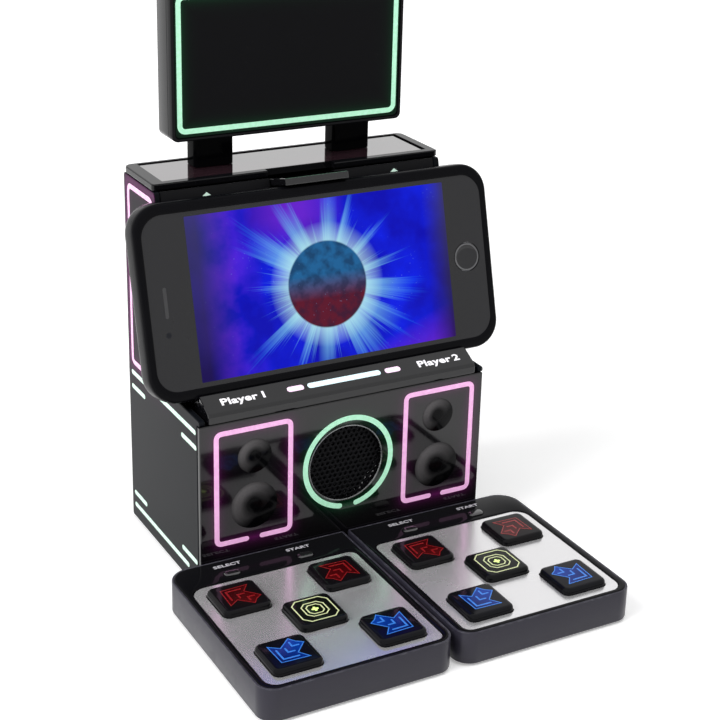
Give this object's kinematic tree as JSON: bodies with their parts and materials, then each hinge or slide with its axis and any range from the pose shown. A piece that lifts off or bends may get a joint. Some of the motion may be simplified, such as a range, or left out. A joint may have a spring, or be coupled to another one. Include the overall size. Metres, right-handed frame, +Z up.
{
  "type": "dance rhythm machine",
  "caption": "Tabletop finger-dance machine: black arcade cabinet with a docked handset, a lit sign on posts and twin pads of sprung square buttons.",
  "frame": {"origin": "on the ground under the middle of the whole object's box", "axes": "+X to the player's right along the cabinet's width, +Y from the pads towards the cabinet's back, +Z up"},
  "size_m": [0.1444, 0.1512, 0.2096],
  "materials": {
    "panel_gloss": "gloss",
    "side_gloss": "gloss",
    "black_matt": "matt",
    "pad_grey": "satin",
    "pad_plate": "brushed",
    "dance_button": "gloss",
    "case_rubber": "satin",
    "screen_glass": "polished",
    "phone_metal": "satin",
    "steel": "plated",
    "cell": "sleeved",
    "foot_rubber": "matt",
    "cone_paper": "matt",
    "membrane": "matt",
    "circuit_board": "lacquered"
  },
  "bodies": {
    "cabinet": {"back_cover": "black_matt", "base_plate": "black_matt", "battery_box": "black_matt", "battery_cell_1": "cell", "battery_cell_2": "cell", "battery_cell_3": "cell", "battery_cell_4": "cell", "clamp_spring": "steel", "cradle_face": "black_matt", "front_panel": "panel_gloss", "ledge": "panel_gloss", "left_pad_bezel": "panel_gloss", "left_pad_board": "circuit_board", "left_pad_floor": "black_matt", "left_pad_foot": "foot_rubber", "left_pad_frame": "pad_grey", "left_pad_membrane": "membrane", "left_pad_plate": "pad_plate", "left_post": "panel_gloss", "left_side_panel": "side_gloss", "main_board": "circuit_board", "rear_foot": "foot_rubber", "right_pad_bezel": "panel_gloss", "right_pad_board": "circuit_board", "right_pad_floor": "black_matt", "right_pad_foot": "foot_rubber", "right_pad_frame": "pad_grey", "right_pad_membrane": "membrane", "right_pad_plate": "pad_plate", "right_post": "panel_gloss", "right_side_panel": "side_gloss", "sign_bezel": "panel_gloss", "sign_panel": "panel_gloss", "sign_shell": "side_gloss", "speaker_cone": "cone_paper", "speaker_frame": "steel", "speaker_grille": "black_matt", "top_cap": "side_gloss", "top_inset": "panel_gloss"},
    "handset": {"phone_case": "case_rubber", "phone_body": "phone_metal", "phone_glass": "screen_glass"},
    "home_key": {"home_button": "screen_glass"},
    "clamp": {"clamp_jaw": "panel_gloss"},
    "door": {"battery_door": "black_matt"},
    "switch": {"power_switch": "black_matt"},
    "left_pad_back_inner_button": {"left_pad_back_inner_button": "dance_button"},
    "left_pad_back_outer_button": {"left_pad_back_outer_button": "dance_button"},
    "left_pad_centre_button": {"left_pad_centre_button": "dance_button"},
    "left_pad_front_inner_button": {"left_pad_front_inner_button": "dance_button"},
    "left_pad_front_outer_button": {"left_pad_front_outer_button": "dance_button"},
    "left_pad_select_button": {"left_pad_select_button": "dance_button"},
    "left_pad_start_button": {"left_pad_start_button": "dance_button"},
    "right_pad_back_inner_button": {"right_pad_back_inner_button": "dance_button"},
    "right_pad_back_outer_button": {"right_pad_back_outer_button": "dance_button"},
    "right_pad_centre_button": {"right_pad_centre_button": "dance_button"},
    "right_pad_front_inner_button": {"right_pad_front_inner_button": "dance_button"},
    "right_pad_front_outer_button": {"right_pad_front_outer_button": "dance_button"},
    "right_pad_select_button": {"right_pad_select_button": "dance_button"},
    "right_pad_start_button": {"right_pad_start_button": "dance_button"}
  },
  "joints": [
    {"name": "left_pad_back_inner_button_press", "type": "slide", "parent": "cabinet", "child": "left_pad_back_inner_button", "axis": [0, 0, -1], "range_m": [0, 0.0012], "stiffness_N_per_m": 300, "springref_m": -0.001},
    {"name": "left_pad_back_outer_button_press", "type": "slide", "parent": "cabinet", "child": "left_pad_back_outer_button", "axis": [0, 0, -1], "range_m": [0, 0.0012], "stiffness_N_per_m": 300, "springref_m": -0.001},
    {"name": "left_pad_centre_button_press", "type": "slide", "parent": "cabinet", "child": "left_pad_centre_button", "axis": [0, 0, -1], "range_m": [0, 0.0012], "stiffness_N_per_m": 300, "springref_m": -0.001},
    {"name": "left_pad_front_inner_button_press", "type": "slide", "parent": "cabinet", "child": "left_pad_front_inner_button", "axis": [0, 0, -1], "range_m": [0, 0.0012], "stiffness_N_per_m": 300, "springref_m": -0.001},
    {"name": "left_pad_front_outer_button_press", "type": "slide", "parent": "cabinet", "child": "left_pad_front_outer_button", "axis": [0, 0, -1], "range_m": [0, 0.0012], "stiffness_N_per_m": 300, "springref_m": -0.001},
    {"name": "left_pad_select_button_press", "type": "slide", "parent": "cabinet", "child": "left_pad_select_button", "axis": [0, 0, -1], "range_m": [0, 0.0006], "stiffness_N_per_m": 300, "springref_m": -0.001},
    {"name": "left_pad_start_button_press", "type": "slide", "parent": "cabinet", "child": "left_pad_start_button", "axis": [0, 0, -1], "range_m": [0, 0.0006], "stiffness_N_per_m": 300, "springref_m": -0.001},
    {"name": "right_pad_back_inner_button_press", "type": "slide", "parent": "cabinet", "child": "right_pad_back_inner_button", "axis": [0, 0, -1], "range_m": [0, 0.0012], "stiffness_N_per_m": 300, "springref_m": -0.001},
    {"name": "right_pad_back_outer_button_press", "type": "slide", "parent": "cabinet", "child": "right_pad_back_outer_button", "axis": [0, 0, -1], "range_m": [0, 0.0012], "stiffness_N_per_m": 300, "springref_m": -0.001},
    {"name": "right_pad_centre_button_press", "type": "slide", "parent": "cabinet", "child": "right_pad_centre_button", "axis": [0, 0, -1], "range_m": [0, 0.0012], "stiffness_N_per_m": 300, "springref_m": -0.001},
    {"name": "right_pad_front_inner_button_press", "type": "slide", "parent": "cabinet", "child": "right_pad_front_inner_button", "axis": [0, 0, -1], "range_m": [0, 0.0012], "stiffness_N_per_m": 300, "springref_m": -0.001},
    {"name": "right_pad_front_outer_button_press", "type": "slide", "parent": "cabinet", "child": "right_pad_front_outer_button", "axis": [0, 0, -1], "range_m": [0, 0.0012], "stiffness_N_per_m": 300, "springref_m": -0.001},
    {"name": "right_pad_select_button_press", "type": "slide", "parent": "cabinet", "child": "right_pad_select_button", "axis": [0, 0, -1], "range_m": [0, 0.0006], "stiffness_N_per_m": 300, "springref_m": -0.001},
    {"name": "right_pad_start_button_press", "type": "slide", "parent": "cabinet", "child": "right_pad_start_button", "axis": [0, 0, -1], "range_m": [0, 0.0006], "stiffness_N_per_m": 300, "springref_m": -0.001},
    {"name": "handset_slide", "type": "slide", "parent": "cabinet", "child": "handset", "axis": [1, 0, 0], "range_m": [-0.03, 0.03]},
    {"name": "home_key_press", "type": "slide", "parent": "handset", "child": "home_key", "axis": [0, 0.9659, -0.2588], "range_m": [0, 0.0003], "stiffness_N_per_m": 500, "springref_m": -0.001},
    {"name": "clamp_lift", "type": "slide", "parent": "cabinet", "child": "clamp", "axis": [0, 0.2588, 0.9659], "range_m": [0, 0.008], "stiffness_N_per_m": 250, "springref_m": -0.005},
    {"name": "door_lift_off", "type": "slide", "parent": "cabinet", "child": "door", "axis": [0, 1, 0], "range_m": [0, 0.03]},
    {"name": "power_switch_slide", "type": "slide", "parent": "cabinet", "child": "switch", "axis": [1, 0, 0], "range_m": [0, 0.0045]}
  ]
}
